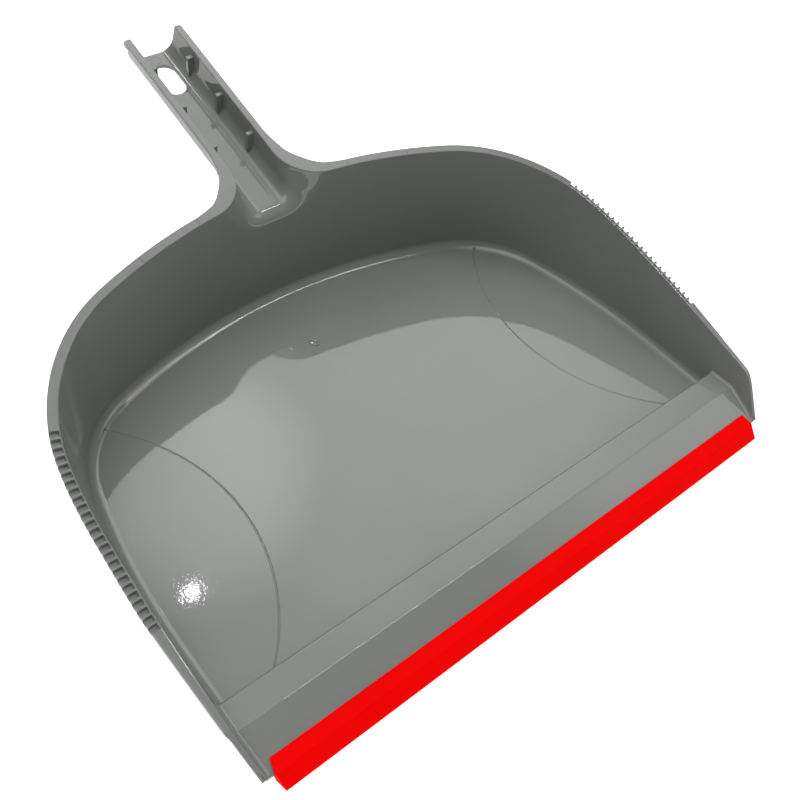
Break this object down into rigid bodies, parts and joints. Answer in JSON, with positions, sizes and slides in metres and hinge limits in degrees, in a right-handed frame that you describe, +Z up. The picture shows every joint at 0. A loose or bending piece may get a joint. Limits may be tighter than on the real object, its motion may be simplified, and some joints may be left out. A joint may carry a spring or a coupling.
{
  "type": "dust pan",
  "caption": "Wide household dust pan with a hollow front ramp, a clip-on rubber lip, comb notches along the rim and an open channel handle with a hang slot.",
  "frame": {"origin": "on the ground, under the middle of the whole object", "axes": "+X across the pan to its right seen from behind the handle, +Y from the mouth towards the handle, +Z up from the ground"},
  "size_m": [0.319, 0.3315, 0.0969],
  "materials": {
    "pan_plastic": "glossy mid grey moulded plastic",
    "lip_rubber": "satin bright red rubber"
  },
  "bodies": {
    "root": {"pan_body": "pan_plastic", "rubber_lip": "lip_rubber"}
  },
  "joints": []
}
